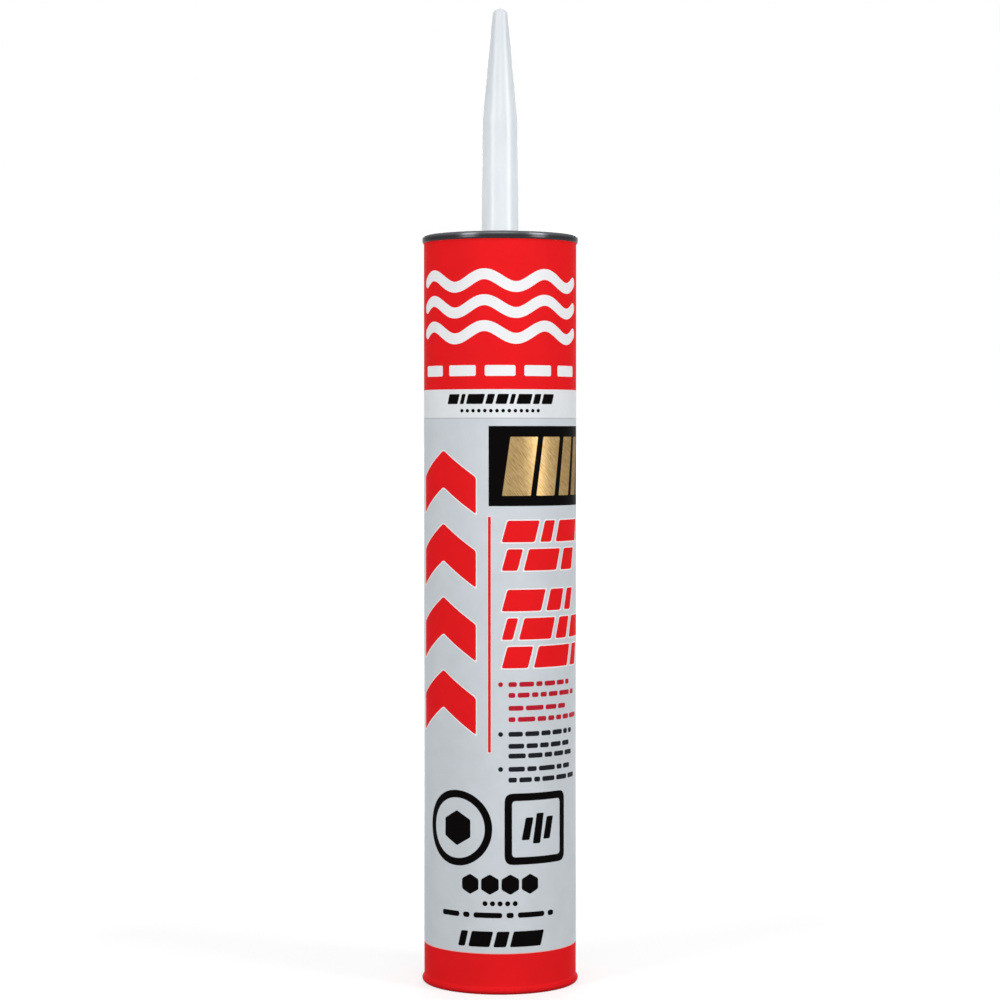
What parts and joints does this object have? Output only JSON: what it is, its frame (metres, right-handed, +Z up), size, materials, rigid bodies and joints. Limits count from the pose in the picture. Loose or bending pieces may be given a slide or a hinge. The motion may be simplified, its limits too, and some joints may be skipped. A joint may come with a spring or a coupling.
{
  "type": "caulk tube",
  "caption": "Large paperboard cartridge of construction adhesive with a seamed metal end, a closed plastic nozzle and a sliding plunger in its open foot.",
  "frame": {"origin": "centre of the foot, on the surface that the cartridge stands on", "axes": "+Z up the cartridge's axis to the nozzle tip, the front of the label faces -Y"},
  "size_m": [0.0652, 0.0653, 0.4058],
  "materials": {
    "paperboard": "matte, spiral-wound kraft board",
    "printed_label": "satin varnish over print",
    "tinplate": "satin, dark lacquered tinplate",
    "nozzle_plastic": "satin moulded polyethylene",
    "foil": "bright rolled foil",
    "plunger_plastic": "matte moulded polyethylene",
    "adhesive": "smooth tan paste"
  },
  "bodies": {
    "cartridge": {"tube": "paperboard", "label": "printed_label", "top_end": "tinplate", "nozzle": "nozzle_plastic", "foil_seal": "foil", "adhesive": "adhesive"},
    "piston": {"plunger": "plunger_plastic"}
  },
  "joints": [
    {"name": "plunger_slide", "type": "slide", "parent": "cartridge", "child": "piston", "axis": [0, 0, 1], "range_m": [0, 0.2806], "deforming": ["adhesive"]}
  ]
}
